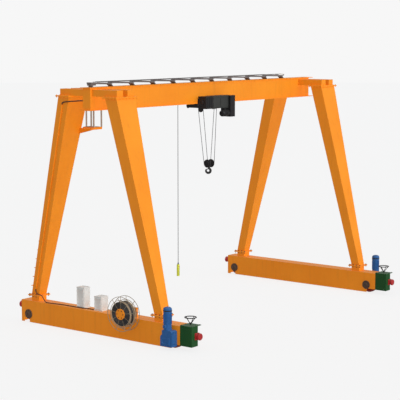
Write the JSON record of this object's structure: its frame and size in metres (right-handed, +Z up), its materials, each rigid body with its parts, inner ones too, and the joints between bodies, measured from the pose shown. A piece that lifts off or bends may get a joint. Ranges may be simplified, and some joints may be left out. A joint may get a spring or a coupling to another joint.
{
  "type": "single-girder gantry crane",
  "caption": "Single-girder gantry crane on rails, with box legs, an underslung rope hoist on a trolley and a pendant control.",
  "frame": {"origin": "on the floor, below the middle of the whole crane's box", "axes": "+X along the girder away from the cable reel, +Y along the rails away from the drives, +Z up"},
  "size_m": [13.156, 8.07, 8.442],
  "materials": {
    "orange_paint": "satin enamel",
    "cover_steel": "dull",
    "wheel_steel": "satin enamel",
    "blue_paint": "satin enamel",
    "green_paint": "satin enamel",
    "black_iron": "semi-gloss black",
    "red_rubber": "smooth",
    "cabinet_grey": "powder coat",
    "bare_steel": "galvanised",
    "cable_rubber": "smooth",
    "brown_rubber": "smooth",
    "grey_rail": "satin",
    "track_grey": "satin",
    "hoist_black": "satin",
    "hoist_grey": "satin",
    "rope_steel": "stranded",
    "pendant_yellow": "moulded"
  },
  "bodies": {
    "frame": {"main_girder": "orange_paint", "saddles": "orange_paint", "left_near_leg": "orange_paint", "left_far_leg": "orange_paint", "right_near_leg": "orange_paint", "right_far_leg": "orange_paint", "left_end_beam": "orange_paint", "right_end_beam": "orange_paint", "reel_stand": "orange_paint", "step_irons": "orange_paint", "cable_conduit": "orange_paint", "platform": "orange_paint", "axle_covers": "cover_steel", "left_gearbox": "blue_paint", "right_gearbox": "blue_paint", "left_motor": "blue_paint", "right_motor": "blue_paint", "left_clamp_box": "green_paint", "right_clamp_box": "green_paint", "buffers": "red_rubber", "cabinets": "cabinet_grey", "control_cable": "brown_rubber", "girder_cable": "brown_rubber", "platform_rails": "grey_rail", "cable_track": "track_grey"},
    "left_near_wheel": {"left_near_wheel": "wheel_steel"},
    "left_far_wheel": {"left_far_wheel": "wheel_steel"},
    "right_near_wheel": {"right_near_wheel": "wheel_steel"},
    "right_far_wheel": {"right_far_wheel": "wheel_steel"},
    "left_handwheel": {"left_handwheel": "black_iron"},
    "right_handwheel": {"right_handwheel": "black_iron"},
    "cable_reel": {"reel_drum": "bare_steel", "reel_hub": "orange_paint", "reel_winding": "cable_rubber"},
    "trolley": {"trolley_frame": "hoist_black", "drum_housing": "hoist_black", "electric_box": "hoist_grey", "hoist_gearbox": "hoist_black", "hoist_motor": "hoist_black", "hoist_ropes": "rope_steel", "upper_sheave": "hoist_black", "pendant_cable": "cable_rubber", "pendant_box": "pendant_yellow"},
    "hook_block": {"hook_block": "hoist_black"},
    "hook": {"hook": "black_iron"}
  },
  "joints": [
    {"name": "left_near_roll", "type": "hinge", "parent": "frame", "child": "left_near_wheel", "pos_m": [-5.977, -2.995, 0.315], "axis": [1, 0, 0], "continuous": true},
    {"name": "left_far_roll", "type": "hinge", "parent": "frame", "child": "left_far_wheel", "pos_m": [-5.977, 3.395, 0.315], "axis": [1, 0, 0], "continuous": true},
    {"name": "right_near_roll", "type": "hinge", "parent": "frame", "child": "right_near_wheel", "pos_m": [6.023, -2.995, 0.315], "axis": [1, 0, 0], "continuous": true},
    {"name": "right_far_roll", "type": "hinge", "parent": "frame", "child": "right_far_wheel", "pos_m": [6.023, 3.395, 0.315], "axis": [1, 0, 0], "continuous": true},
    {"name": "left_clamp_turn", "type": "hinge", "parent": "frame", "child": "left_handwheel", "pos_m": [-5.977, -3.615, 0.9], "axis": [0, 0, 1], "continuous": true},
    {"name": "right_clamp_turn", "type": "hinge", "parent": "frame", "child": "right_handwheel", "pos_m": [6.023, -3.615, 0.9], "axis": [0, 0, 1], "continuous": true},
    {"name": "reel_turn", "type": "hinge", "parent": "frame", "child": "cable_reel", "pos_m": [-6.407, -1.15, 0.94], "axis": [1, 0, 0], "continuous": true},
    {"name": "trolley_travel", "type": "slide", "parent": "frame", "child": "trolley", "axis": [1, 0, 0], "range_m": [-3.9, 4.5]},
    {"name": "hook_lift", "type": "slide", "parent": "trolley", "child": "hook_block", "axis": [0, 0, 1], "range_m": [-4.6, 1.4], "deforming": ["hoist_ropes"]},
    {"name": "hook_swivel", "type": "hinge", "parent": "hook_block", "child": "hook", "pos_m": [-0.362, 0, 5.1], "axis": [0, 0, 1], "continuous": true}
  ]
}
